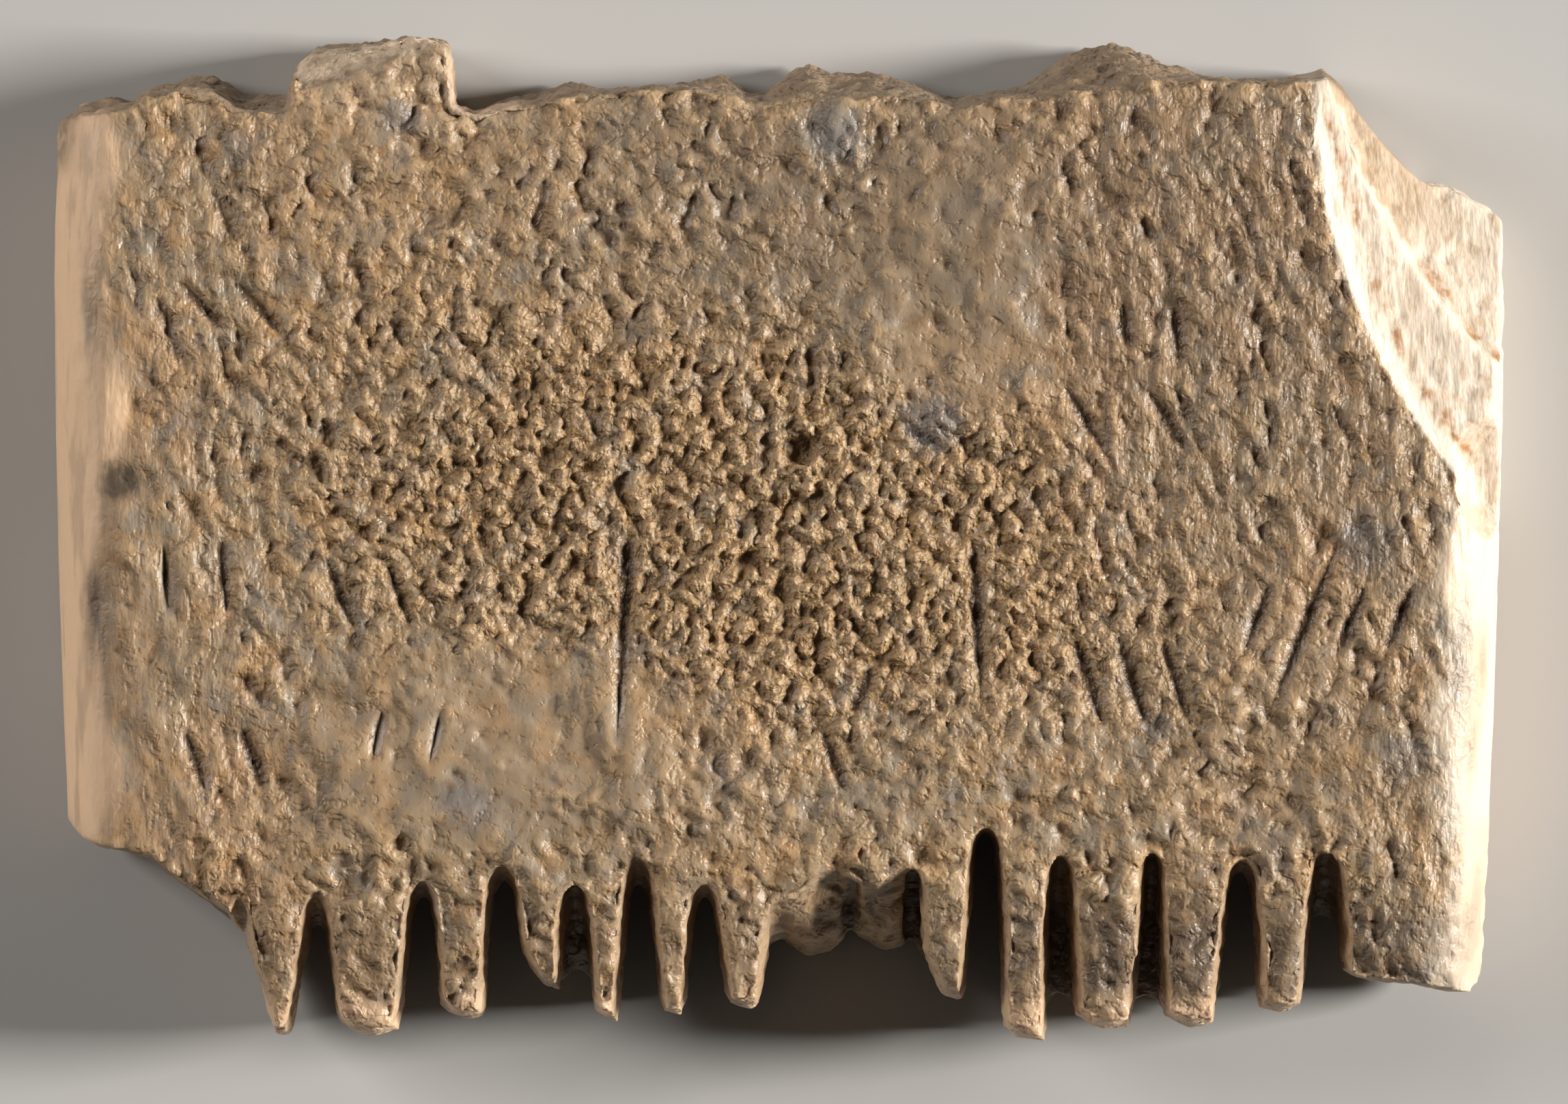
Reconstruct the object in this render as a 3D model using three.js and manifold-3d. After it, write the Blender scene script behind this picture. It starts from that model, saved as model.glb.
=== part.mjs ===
// A small two-sided ivory comb, broken and worn, lying on its back with the scratched face up.
// Millimetres. X runs along the comb, Y towards the broken coarse teeth, Z up through its thickness.
// The origin is under the middle of the whole piece, on the plane that it lies on.
import * as THREE from "three";
import { mergeVertices } from "three/addons/utils/BufferGeometryUtils.js";
import Module from "manifold-3d";

const wasm = await Module();
wasm.setup();

// The plate
const length = 35.0;
const thickness = 4.5;
const leftPlate = 4.45; // the solid end left of the teeth
const rightPlate = 3.93; // the solid end right of the teeth
const endRounding = 1.55; // how far in the rounded ends reach
const widestAt = 7.0; // the height where the plate is longest
const fineDraw = 0.65; // how far each end has drawn in at the fine teeth's reach
const coarseDraw = 0.5; // and at the coarse teeth's
const flatBand = 7.0; // half the height of the flat middle of the back
const fineReach = 12.2; // from the middle line to the longest fine tooth
const coarseReach = 12.2; // from the middle line to the tallest stump
const fineBackLift = 0.75; // how far the back curves up at the ends of the fine teeth
const fineFrontDrop = 0.95; // and how far the front comes down there
const coarseBackLift = 0.3;
const coarseFrontDrop = 0.45;

// The fine teeth from left to right. gap is the slot on the tooth's left and width its own width, both at
// the upper line. low is its width at the lower line and lean how far it has moved sideways there. These
// four are spread over the row. The rest are shares of the fine reach: reach is the tooth's length from the
// middle line, left and right are how far its two shoulders stand back, and notch and web are the heights
// where the slot starts on the front face and where it goes right through. tipAt puts the tip along the
// tooth, from -1 at its left to 1 at its right. A backed slot was sawn aslant, so that a thin web is left
// behind it.
const upperLine = 0.807 * fineReach;
const lowerLine = 0.908 * fineReach;
const lowestLean = 1.3; // where the flanks stop leaning, on the way from the upper line to the lower one
const fineTeeth = [
  { gap: 0.2, width: 1.53, low: 0.73, lean: 0.09, reach: 0.988, tipAt: 0.0, left: 0.033, right: 0.049, notch: 0.689, web: 0.754 },
  { gap: 0.43, width: 2.02, low: 1.66, lean: 0.0, reach: 0.986, tipAt: 0.1, left: 0.045, right: 0.025, notch: 0.672, web: 0.76 },
  { gap: 0.59, width: 1.3, low: 1.19, lean: 0.0, reach: 0.954, tipAt: 0.35, left: 0.049, right: 0.029, notch: 0.664, web: 0.707 },
  { gap: 0.7, width: 1.08, low: 0.34, lean: 0.4, reach: 0.898, tipAt: 0.0, left: 0.025, right: 0.008, notch: 0.639, web: 0.674 },
  { gap: 0.6, width: 0.92, low: 0.69, lean: 0.0, reach: 0.959, tipAt: 0.6, left: 0.041, right: 0.008, notch: 0.68, web: 0.854, backed: true },
  { gap: 0.64, width: 0.94, low: 0.68, lean: 0.03, reach: 0.948, tipAt: 0.4, left: 0.016, right: 0.012, notch: 0.615, web: 0.684 },
  { gap: 0.62, width: 1.23, low: 0.86, lean: 0.03, reach: 0.934, tipAt: 0.1, left: 0.025, right: 0.025, notch: 0.672, web: 0.709 },
  { gap: 0.45, width: 1.2, low: 1.0, lean: 0.0, reach: 0.943, tipAt: 0.0, left: 0.016, right: 0.016, notch: 0.697, web: 0.795 },
  { gap: 0.5, width: 1.2, low: 1.0, lean: 0.0, reach: 0.943, tipAt: 0.0, left: 0.016, right: 0.016, notch: 0.648, web: 0.791 },
  { gap: 0.3, width: 1.22, low: 0.52, lean: 0.23, reach: 0.916, tipAt: 0.2, left: 0.02, right: 0.016, notch: 0.648, web: 0.807, backed: true },
  { gap: 0.73, width: 1.15, low: 1.14, lean: 0.0, reach: 1, tipAt: 0.6, left: 0.049, right: 0.02, notch: 0.566, web: 0.578 },
  { gap: 0.53, width: 1.77, low: 1.49, lean: -0.07, reach: 0.975, tipAt: 0.35, left: 0.045, right: 0.033, notch: 0.623, web: 0.903, backed: true },
  { gap: 0.35, width: 1.61, low: 1.38, lean: -0.04, reach: 0.971, tipAt: 0.35, left: 0.041, right: 0.025, notch: 0.615, web: 0.903, backed: true },
  { gap: 0.74, width: 1.27, low: 1.15, lean: -0.03, reach: 0.941, tipAt: 0.0, left: 0.025, right: 0.025, notch: 0.623, web: 0.66 },
];
const lastSlot = { gap: 0.8, notch: 0.615, web: 0.748, backed: true };
const slotFlare = 0.24; // how much a slot opens on each side from its waist to a face
const slotEnd = 0.25; // the height of a slot's rounded end
const slotEndShare = 0.35; // how wide a slot starts, as a share of its full gap
const leastOpening = 0.8; // the shortest way over which it widens to the full gap
const noseRise = 0.45; // how far a tip stands back at the faces

// The broken edges. Each point is a place along the comb, as a share of half its length, then the height
// of the break at the back and at the front, as shares of the reach on that side.
const coarseBreak = [
  [-1.02, 0.795, 0.779],
  [-0.985, 0.836, 0.82],
  [-0.955, 0.873, 0.828],
  [-0.925, 0.879, 0.834],
  [-0.89, 0.869, 0.848],
  [-0.87, 0.895, 0.87],
  [-0.82, 0.914, 0.885],
  [-0.78, 0.928, 0.861],
  [-0.763, 0.906, 0.857],
  [-0.75, 0.881, 0.844],
  [-0.675, 0.884, 0.836],
  [-0.667, 0.939, 0.893],
  [-0.64, 0.984, 0.939],
  [-0.56, 0.985, 0.955],
  [-0.508, 1, 0.984],
  [-0.457, 0.989, 0.971],
  [-0.452, 0.943, 0.926],
  [-0.449, 0.861, 0.852],
  [-0.418, 0.847, 0.836],
  [-0.39, 0.869, 0.848],
  [-0.34, 0.885, 0.857],
  [-0.285, 0.91, 0.869],
  [-0.245, 0.892, 0.877],
  [-0.17, 0.899, 0.889],
  [-0.115, 0.911, 0.885],
  [-0.077, 0.925, 0.869],
  [-0.045, 0.889, 0.861],
  [-0.017, 0.885, 0.857],
  [0.0, 0.91, 0.861],
  [0.04, 0.951, 0.865],
  [0.07, 0.925, 0.861],
  [0.1, 0.93, 0.861],
  [0.155, 0.922, 0.869],
  [0.19, 0.898, 0.873],
  [0.24, 0.875, 0.848],
  [0.3, 0.887, 0.869],
  [0.34, 0.899, 0.869],
  [0.365, 0.926, 0.869],
  [0.4, 0.963, 0.87],
  [0.455, 0.988, 0.873],
  [0.486, 0.98, 0.881],
  [0.53, 0.948, 0.898],
  [0.6, 0.916, 0.902],
  [0.69, 0.908, 0.902],
  [0.72, 0.926, 0.902],
  [0.754, 0.936, 0.902],
  [0.777, 0.902, 0.877],
  [0.817, 0.82, 0.795],
  [0.846, 0.77, 0.746],
  [0.886, 0.717, 0.693],
  [0.931, 0.703, 0.676],
  [0.96, 0.675, 0.652],
  [0.99, 0.659, 0.631],
  [1.02, 0.59, 0.574],
];
const cornerBreak = [
  [-1.02, 0.529, 0.533],
  [-0.977, 0.557, 0.553],
  [-0.957, 0.594, 0.582],
  [-0.934, 0.613, 0.598],
  [-0.897, 0.619, 0.611],
  [-0.863, 0.641, 0.623],
  [-0.846, 0.664, 0.635],
  [-0.811, 0.701, 0.68],
  [-0.777, 0.732, 0.705],
  [-0.76, 0.75, 0.721],
  [-0.741, 0.787, 0.762],
];
const toothBreak = [
  [-0.012, 0.82, 0.701],
  [0.009, 0.797, 0.697],
  [0.037, 0.834, 0.676],
  [0.057, 0.828, 0.635],
  [0.08, 0.824, 0.631],
  [0.114, 0.791, 0.672],
  [0.149, 0.822, 0.652],
  [0.177, 0.805, 0.631],
  [0.194, 0.807, 0.648],
];
const plateBreak = [
  [0.765, 0.844, 0.844],
  [0.795, 0.869, 0.865],
  [0.875, 0.879, 0.877],
  [0.95, 0.899, 0.893],
  [0.968, 0.869, 0.861],
  [1.02, 0.82, 0.811],
];
const webDepth = 1.6; // the thickness left at the back where two teeth have snapped off

// The flakes lost from the top right corner: a wide shallow dish, a second stepped down inside it, and a
// small bruise where the first runs out over the rounded end. x and radius are shares of half the length
// and y of the coarse reach. depth, and how far below the front face the dish is widest, are shares of the
// thickness.
const flakes = [
  { x: 1.717, y: 1.009, radius: 1.0, depth: 0.444, below: 0.0 },
  { x: 1.746, y: 1.375, radius: 1.051, depth: 0.533, below: 0.189 },
  { x: 1.0, y: 0.119, radius: 0.086, depth: 0.244, below: 0.178 },
];

// Rows of shallow strokes on the face. The strokes of a row have one height and length, as shares of the
// reach, and one lean from upright in degrees. Their places along the comb are shares of half its length.
const strokeWidth = 0.34;
const strokeDepth = 0.2;
const strokeEnd = 0.05; // how nearly a stroke's ends close, as a share of its fullness
const strokeRows = [
  { y: 0.459, long: 0.172, lean: 42, places: [-0.79, -0.715] },
  { y: 0.418, long: 0.115, lean: 8, places: [0.475, 0.545] },
  { y: 0.238, long: 0.197, lean: 32, places: [0.42, 0.53] },
  { y: 0.197, long: 0.123, lean: 60, places: [0.2] },
  { y: -0.074, long: 0.189, lean: 4, places: [-0.84, -0.76] },
  { y: -0.107, long: 0.18, lean: 22, places: [-0.6, -0.52] },
  { y: -0.172, long: 0.59, lean: -3, places: [-0.213] },
  { y: -0.148, long: 0.361, lean: 3, places: [0.272] },
  { y: -0.156, long: 0.18, lean: -22, places: [0.655, 0.785, 0.85] },
  { y: -0.172, long: 0.41, lean: -22, places: [0.72] },
  { y: -0.279, long: 0.238, lean: 18, places: [0.425, 0.485, 0.545] },
  { y: -0.295, long: 0.131, lean: -24, places: [0.115] },
  { y: -0.385, long: 0.131, lean: -12, places: [-0.55, -0.47] },
  { y: -0.434, long: 0.164, lean: 20, places: [-0.8, -0.72, 0.075] },
];

const ivoryColour = 0xb59b74;
const ivoryRoughness = 0.75;

const rowWidth = length - leftPlate - rightPlate;
const drawnRow = fineTeeth.reduce((sum, tooth) => sum + tooth.gap + tooth.width, lastSlot.gap);
const spread = rowWidth / drawnRow;
const halfLength = length / 2;
const past = 1.5; // how far a cutter runs past the surface that it cuts
const far = fineReach + 2 * past;

const mix = (a, b, share) => a + (b - a) * share;
const clamp = THREE.MathUtils.clamp;
const smooth = (share) => THREE.MathUtils.smoothstep(share, 0, 1);

const reachAt = (y) => (y < 0 ? fineReach : coarseReach);

// How far a height lies along the curved part of the faces, from 0 at the flat band to 1 at the reach.
function curveShare(y) {
  const reach = reachAt(y);
  return clamp((Math.abs(y) - flatBand) / (reach - flatBand), 0, 1);
}

// How far an end has drawn in at a height.
function drawnIn(y) {
  if (y < widestAt) return fineDraw * ((widestAt - y) / (widestAt + fineReach)) ** 2;
  return coarseDraw * ((y - widestAt) / (coarseReach - widestAt)) ** 2;
}

function backZ(y) {
  return (y < 0 ? fineBackLift : coarseBackLift) * curveShare(y) ** 2;
}

function frontZ(y) {
  return thickness - (y < 0 ? fineFrontDrop : coarseFrontDrop) * curveShare(y) ** 1.5;
}

// A geometry as a solid that can be cut.
function solid(geometry) {
  const bare = geometry.clone();
  bare.deleteAttribute("normal");
  bare.deleteAttribute("uv");
  const merged = mergeVertices(bare, 1e-4);
  return new wasm.Manifold(
    new wasm.Mesh({
      numProp: 3,
      vertProperties: merged.attributes.position.array,
      triVerts: new Uint32Array(merged.index.array),
    }),
  );
}

// Moves every vertex of a geometry to the place that a function gives for it.
function reshape(geometry, place) {
  const position = geometry.attributes.position;
  for (let i = 0; i < position.count; i++) {
    position.setXYZ(i, ...place(position.getX(i), position.getY(i), position.getZ(i)));
  }
  return geometry;
}

// A box in segments, bent by a function of three shares: across, from the cut edge outwards, and up.
function bentBlock(across, out, up, place) {
  const box = new THREE.BoxGeometry(1, 1, 1, across, out, up);
  return solid(reshape(box, (x, y, z) => place(x + 0.5, y + 0.5, z + 0.5)));
}

// The whole plate before it is sawn and broken: a section with rounded ends, drawn out along Y.
function plate() {
  const section = new THREE.Shape();
  const straight = halfLength - endRounding;
  section.moveTo(-straight, -1);
  section.lineTo(straight, -1);
  section.absellipse(straight, 0, endRounding, 1, -Math.PI / 2, Math.PI / 2, false);
  section.lineTo(-straight, 1);
  section.absellipse(-straight, 0, endRounding, 1, Math.PI / 2, (3 * Math.PI) / 2, false);
  const drawn = new THREE.ExtrudeGeometry(section, {
    depth: 1,
    steps: 18,
    bevelEnabled: false,
    curveSegments: 10,
  });
  return solid(
    reshape(drawn, (x, level, share) => {
      const y = mix(coarseReach + past, -fineReach - past, share);
      const z = mix(backZ(y), frontZ(y), (level + 1) / 2);
      return [x * (1 - drawnIn(y) / halfLength), y, z];
    }),
  );
}

// The teeth with their flanks worked out, from the left end plate to the right one.
function toothFlanks() {
  const flanks = [];
  let x = -halfLength + leftPlate;
  for (const tooth of fineTeeth) {
    const half = (tooth.width * spread) / 2;
    const middle = x + tooth.gap * spread + half;
    const low = middle + tooth.lean * spread;
    const halfLow = (tooth.low * spread) / 2;
    flanks.push({
      ...tooth,
      left: { upper: middle - half, lower: low - halfLow, rise: tooth.left * fineReach },
      right: { upper: middle + half, lower: low + halfLow, rise: tooth.right * fineReach },
    });
    x = middle + half;
  }
  return flanks;
}

const flankX = (flank, y) =>
  mix(flank.upper, flank.lower, clamp((-y - upperLine) / (lowerLine - upperLine), 0, lowestLean));

// The height where a slot starts at a depth, which is 0 at the front face and 1 at the back.
function slotStart({ notch, web, backed }, depth) {
  if (backed) return -fineReach * mix(notch, web, THREE.MathUtils.smoothstep(depth, 0.35, 0.75));
  const fromWaist = 2 * depth - 1;
  const towardsFace = fromWaist > 0 ? fromWaist / 2 : -fromWaist;
  return -fineReach * mix(web, notch, towardsFace ** 1.4);
}

// A saw slot between two flanks: narrow at its waist and flared to both faces, with a rounded end.
function slotCutter(left, right, slot) {
  return bentBlock(6, 5, 6, (u, v, w) => {
    const z = mix(-past, thickness + past, w);
    const depth = clamp(1 - z / thickness, 0, 1);
    const end = slotStart(slot, depth);
    const side = 1 - 2 * u;
    const top = end - slotEnd * (1 - Math.sqrt(1 - side * side));
    const y = mix(top, -far, v ** 1.6);
    const opening = Math.max(leastOpening, end + upperLine);
    const opened = mix(slotEndShare, 1, clamp((end - y) / opening, 0, 1) ** 0.6);
    const from = flankX(left, y);
    const to = flankX(right, y);
    const half = ((to - from) / 2 + slotFlare * Math.abs(2 * depth - 1) ** 1.5) * opened;
    return [(from + to) / 2 + side * half, y, z];
  });
}

// What is missing below a tooth's tip, which is rounded both across and through.
function tipCutter(tooth) {
  const reach = tooth.reach * fineReach;
  return bentBlock(6, 1, 4, (u, v, w) => {
    const z = mix(-past, thickness + past, w);
    const side = 1 - 2 * u;
    const across = side - tooth.tipAt;
    const toShoulder = across < 0 ? 1 + tooth.tipAt : 1 - tooth.tipAt;
    const rise = across < 0 ? tooth.left.rise : tooth.right.rise;
    const back = rise * (across / toShoulder) ** 2;
    const fromWaist = (2 * z) / thickness - 1;
    const tip = -reach + back + noseRise * fromWaist * fromWaist;
    const y = mix(tip, -far, v);
    const from = flankX(tooth.left, -reach) - slotFlare;
    const to = flankX(tooth.right, -reach) + slotFlare;
    return [mix(to, from, u), y, z];
  });
}

// What is missing beyond a broken edge. slope gives how far the break has come from its front height to
// its back height at a depth, which is 0 at the front face and 1 at the back.
function breakCutter(edge, outer, slope) {
  const points = outer < 0 ? edge.toReversed() : edge;
  const reach = Math.sign(outer) * reachAt(outer);
  return bentBlock(points.length - 1, 1, 6, (u, v, w) => {
    const [share, back, front] = points[Math.round(u * (points.length - 1))];
    const z = mix(-past, thickness + past, w);
    const depth = clamp(1 - z / thickness, 0, 1);
    return [share * halfLength, mix(reach * mix(front, back, slope(depth)), outer, v), z];
  });
}

// A shallow dish of a flake that came off the front face.
function flakeCutter({ x, y, radius, depth, below }) {
  const wide = radius * halfLength;
  const around = 12 + Math.round(72 * radius);
  const ball = new THREE.SphereGeometry(1, around, around / 2);
  ball.scale(wide, wide, depth * thickness);
  ball.translate(x * halfLength, y * coarseReach, (1 - below) * thickness);
  return solid(ball);
}

// A stroke: a groove with a V section, of one width for most of its length and drawn out at its ends.
function strokeCutter(x, { y, long, lean }) {
  const angle = THREE.MathUtils.degToRad(lean);
  const reach = reachAt(y);
  return bentBlock(2, 5, 1, (u, v, w) => {
    const fullness = Math.max(strokeEnd, Math.sin(Math.PI * v)) ** 0.4;
    const across = (u - 0.5) * strokeWidth * fullness;
    const along = (v - 0.5) * long * reach;
    const px = x + across * Math.cos(angle) - along * Math.sin(angle);
    const py = y * reach + across * Math.sin(angle) + along * Math.cos(angle);
    const vee = -strokeDepth * fullness * (1 - Math.abs(2 * u - 1));
    return [px, py, frontZ(py) + (w ? strokeDepth : vee)];
  });
}

function combSolid() {
  const flanks = toothFlanks();
  const plateLeft = { upper: -halfLength + leftPlate, lower: -halfLength + leftPlate };
  const plateRight = { upper: halfLength - rightPlate, lower: halfLength - rightPlate };
  const cutters = flanks.map((tooth, i) =>
    slotCutter(i ? flanks[i - 1].right : plateLeft, tooth.left, tooth),
  );
  cutters.push(slotCutter(flanks.at(-1).right, plateRight, lastSlot));
  cutters.push(...flanks.map(tipCutter));

  const leaning = (depth) => clamp(depth / 0.7, 0, 1);
  const steep = (depth) => smooth(clamp((depth * thickness) / (thickness - webDepth), 0, 1));
  cutters.push(breakCutter(coarseBreak, far, leaning));
  cutters.push(breakCutter(cornerBreak, -far, leaning));
  cutters.push(breakCutter(toothBreak, -far, steep));
  cutters.push(breakCutter(plateBreak, -far, leaning));
  cutters.push(...flakes.map(flakeCutter));
  for (const row of strokeRows) {
    cutters.push(...row.places.map((share) => strokeCutter(share * halfLength, row)));
  }
  return cutters.reduce((body, cutter) => body.subtract(cutter), plate());
}

// The comb's outline is centred on the origin, whatever its broken edges measure.
function centred(body) {
  const { min, max } = body.boundingBox();
  return body.translate([-(min[0] + max[0]) / 2, -(min[1] + max[1]) / 2, -min[2]]);
}

function geometryOf(body) {
  const mesh = body.getMesh();
  return new THREE.BufferGeometry()
    .setAttribute("position", new THREE.BufferAttribute(new Float32Array(mesh.vertProperties), 3))
    .setIndex(new THREE.BufferAttribute(new Uint32Array(mesh.triVerts), 1));
}

const comb = new THREE.Mesh(
  geometryOf(centred(combSolid())),
  new THREE.MeshStandardMaterial({ color: ivoryColour, roughness: ivoryRoughness, metalness: 0 }),
);
comb.geometry.computeVertexNormals();
comb.name = "comb";

const group = new THREE.Group();
group.add(comb);
export default group;
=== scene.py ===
# %% [markdown]
# # An inscribed ivory comb, worn and broken
# A small two-sided comb of ivory. The teeth of one edge have all snapped off, those of the other are worn
# short, and the face between them is pitted by the soil. The lesson takes the solid of the comb, gives it
# the relief that the years left on it, colours it, and lights it as a raking light would show it.

# %% Tools and frame
import itertools
import math

import bpy
import numpy as np
from mathutils import Matrix, kdtree


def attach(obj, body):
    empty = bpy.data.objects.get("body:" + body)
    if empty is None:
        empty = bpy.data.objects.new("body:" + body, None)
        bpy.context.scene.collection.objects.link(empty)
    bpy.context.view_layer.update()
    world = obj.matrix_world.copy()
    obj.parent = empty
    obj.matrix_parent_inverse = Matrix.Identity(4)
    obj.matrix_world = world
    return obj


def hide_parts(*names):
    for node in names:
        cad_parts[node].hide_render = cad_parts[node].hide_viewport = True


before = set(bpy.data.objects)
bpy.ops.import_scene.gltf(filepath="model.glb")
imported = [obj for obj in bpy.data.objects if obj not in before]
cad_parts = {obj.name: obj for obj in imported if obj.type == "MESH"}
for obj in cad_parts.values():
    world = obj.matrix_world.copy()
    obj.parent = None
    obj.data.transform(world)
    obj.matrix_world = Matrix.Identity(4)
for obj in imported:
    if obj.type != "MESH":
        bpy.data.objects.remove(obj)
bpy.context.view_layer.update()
cad_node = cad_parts["comb"]

# A metre is Blender's unit, and the comb's own sizes are in millimetres.
MM = 0.001
THICKNESS = 4.5
TRIANGLES = 196000

# %% [markdown]
# ## A fine skin over the solid
# The real comb is one piece of tusk, so it is modelled as one skin. The solid has large flat facets, which
# can't carry pits. A copy of it is worked in millimetres and built again from small even squares, which
# also rounds its edges by about their size, as wear has done on the real one. Sculpting by hand would do
# too, but squares of one size take noise evenly and come out the same each time.

# %% Copy and remesh
SQUARE = 0.085


def only(piece):
    """Makes a piece the one that Blender's operators work on."""
    bpy.ops.object.select_all(action="DESELECT")
    piece.select_set(True)
    bpy.context.view_layer.objects.active = piece


def apply_modifier(piece, kind, **settings):
    """Adds a modifier with its settings, and applies it."""
    modifier = piece.modifiers.new(kind.lower(), kind)
    for name, value in settings.items():
        setattr(modifier, name, value)
    only(piece)
    bpy.ops.object.modifier_apply(modifier=modifier.name)


comb = bpy.data.objects.new("ivory_comb", cad_node.data.copy())
bpy.context.scene.collection.objects.link(comb)
comb.data.materials.clear()
only(comb)
bpy.ops.object.mode_set(mode="EDIT")
bpy.ops.mesh.select_all(action="SELECT")
bpy.ops.mesh.remove_doubles(threshold=1e-7)
bpy.ops.object.mode_set(mode="OBJECT")
comb.data.transform(Matrix.Scale(1 / MM, 4))
apply_modifier(comb, "REMESH", mode="VOXEL", voxel_size=SQUARE)
print("the skin has", len(comb.data.polygons), "squares")

# %% [markdown]
# ## Measuring the skin
# Carving needs to know where each vertex is, which way it faces, and whether it stands out of the skin
# round it. The last is found by letting the skin settle, each vertex to the middle of its neighbours, and
# by seeing how far it sank. Arrays of all the vertices at once keep this quick.


# %% Measures
def corners(mesh):
    """The places of a mesh's vertices, in rows."""
    flat = np.empty(3 * len(mesh.vertices), np.float32)
    mesh.vertices.foreach_get("co", flat)
    return flat.reshape(-1, 3).astype(float)


def normals(mesh):
    """The directions in which a mesh's vertices face, in rows."""
    flat = np.empty(3 * len(mesh.vertices), np.float32)
    mesh.vertex_normals.foreach_get("vector", flat)
    return flat.reshape(-1, 3).astype(float)


def put_back(places):
    """Moves the comb's vertices to their new places."""
    comb.data.vertices.foreach_set("co", places.astype(np.float32).ravel())
    comb.data.update()


pairs = np.empty(2 * len(comb.data.edges), np.int32)
comb.data.edges.foreach_get("vertices", pairs)
edge_start, edge_end = pairs.reshape(-1, 2).T
neighbours = np.bincount(pairs)


def averaged(values, rounds):
    """Each vertex's value replaced by the mean of its neighbours', a number of times over."""
    for _ in range(rounds):
        total = np.bincount(edge_start, values[edge_end], len(values))
        total += np.bincount(edge_end, values[edge_start], len(values))
        values = total / neighbours
    return values


def settled(places, rounds):
    """Places that have sunk towards the middle of their neighbours."""
    return np.stack([averaged(axis, rounds) for axis in places.T], axis=1)


def stands_out(places, rounds):
    """How far each vertex stands out of the skin round it, in millimetres."""
    return averaged(np.einsum("ij,ij->i", places - settled(places, rounds), normals(comb.data)), 1)


def smooth(low, high, value):
    """0 below low and 1 above high, with a soft step between. Low may also be the larger of the two."""
    share = np.clip((value - low) / (high - low), 0, 1)
    return share * share * (3 - 2 * share)


# %% [markdown]
# ## The slanting break of the stump
# One stump of the coarse teeth broke off at a slant, so its end falls away from the face. Every place of
# the stump past a slanting line is lowered onto a plane that falls with the distance from that line.

# %% Stump
# The slanting line runs through a place on the stump and is turned from the row of teeth.
STUMP_LEFT, STUMP_RIGHT = -11.6, -6.8
BREAK_AT = (-10.9, 10.9)
BREAK_TURN = math.radians(18)
BREAK_TOP, BREAK_FALL = 4.2, 1.1

place = corners(comb.data)
x, y, z = place.T
beyond = math.cos(BREAK_TURN) * (y - BREAK_AT[1]) - math.sin(BREAK_TURN) * (x - BREAK_AT[0])
on_stump = (x > STUMP_LEFT) & (x < STUMP_RIGHT) & (beyond > 0)
z[on_stump] = np.minimum(z[on_stump], BREAK_TOP - BREAK_FALL * beyond[on_stump])
put_back(place)
facing = normals(comb.data)
corner_height = stands_out(place, 30)
print("the sharpest edge stands out", round(float(corner_height.max()), 3), "mm")

# %% [markdown]
# ## Noise to carve with
# Wear, soil and roots leave marks without a plan, but of a known size and direction. Smooth noise gives the
# hollows, and noise of scattered points gives the grains. Both come from seeded tables, so the comb is the
# same each time.

# %% Noise
dice = np.random.default_rng(7)
shuffled = dice.permutation(256)
slopes = dice.normal(size=(256, 3))
slopes /= np.linalg.norm(slopes, axis=1, keepdims=True)
scatter = dice.random((256, 3))


def spot(cell):
    """The row of the tables that belongs to each cell of an endless grid."""
    i, j, k = cell.T & 255
    return shuffled[(shuffled[(shuffled[i] + j) & 255] + k) & 255]


def noise(points):
    """Smooth noise from about -1 to 1, in waves of about one unit."""
    cell = np.floor(points).astype(int)
    part = points - cell
    ease = part * part * (3 - 2 * part)
    total = np.zeros(len(points))
    for corner in itertools.product((0, 1), repeat=3):
        corner = np.array(corner)
        slope = slopes[spot(cell + corner)]
        weight = np.prod(np.where(corner, ease, 1 - ease), axis=1)
        total += weight * np.einsum("ij,ij->i", slope, part - corner)
    return 1.5 * total


def scattered(points):
    """The distance from each point to the nearest of the scattered points, about one to a cell."""
    cell = np.floor(points).astype(int)
    part = points - cell
    nearest = np.full(len(points), 9.0)
    for step in itertools.product((-1, 0, 1), repeat=3):
        step = np.array(step)
        away = scatter[spot(cell + step)] + step - part
        nearest = np.minimum(nearest, np.einsum("ij,ij->i", away, away))
    return np.sqrt(nearest)


print("the noise is drawn from", len(slopes), "slopes and", len(scatter), "scattered points")

# %% [markdown]
# ## Grain and places
# Tusk has a grain, so a streak is a wave that is stretched along it. A shift takes another part of the
# endless noise, so that no two patterns fall together. Marks that sit at one place are soft ellipses.


# %% Grain and places
def waves(size, stretch=(1, 1, 1), lean=0.0, shift=0.0):
    """The skin's places in waves of a size in millimetres, stretched along a grain that leans."""
    angle = math.radians(lean)
    u = x * math.cos(angle) + y * math.sin(angle)
    v = -x * math.sin(angle) + y * math.cos(angle)
    return np.stack([u, v, z], axis=1) / (size * np.array(stretch)) + shift


def near(px, py, rx, ry, soft=0.5):
    """How far each place lies inside an ellipse on the face, from 0 to 1."""
    distance = np.sqrt(((x - px) / rx) ** 2 + ((y - py) / ry) ** 2)
    return 1 - smooth(1 - soft, 1 + soft, distance)


def inside(circle):
    """How far each place lies inside a large circle seen from above, in millimetres."""
    px, py, radius = circle
    return radius - np.hypot(x - px, y - py)


# %% [markdown]
# ## The zones of the comb
# The comb isn't worn evenly. Its rounded ends are polished by hands, the top right corner has lost two
# flakes along two round rims, the edges are broken or sawn, and the strokes are cut into the face. Each
# zone is a weight from 0 to 1 over the skin, found from where a place is and which way it faces.

# %% Zones of the comb
# The middle and the radius of each rim's circle, in millimetres.
OUTER_FLAKE = (30.05, 12.31, 17.5)
INNER_FLAKE = (30.56, 16.78, 18.4)
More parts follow.
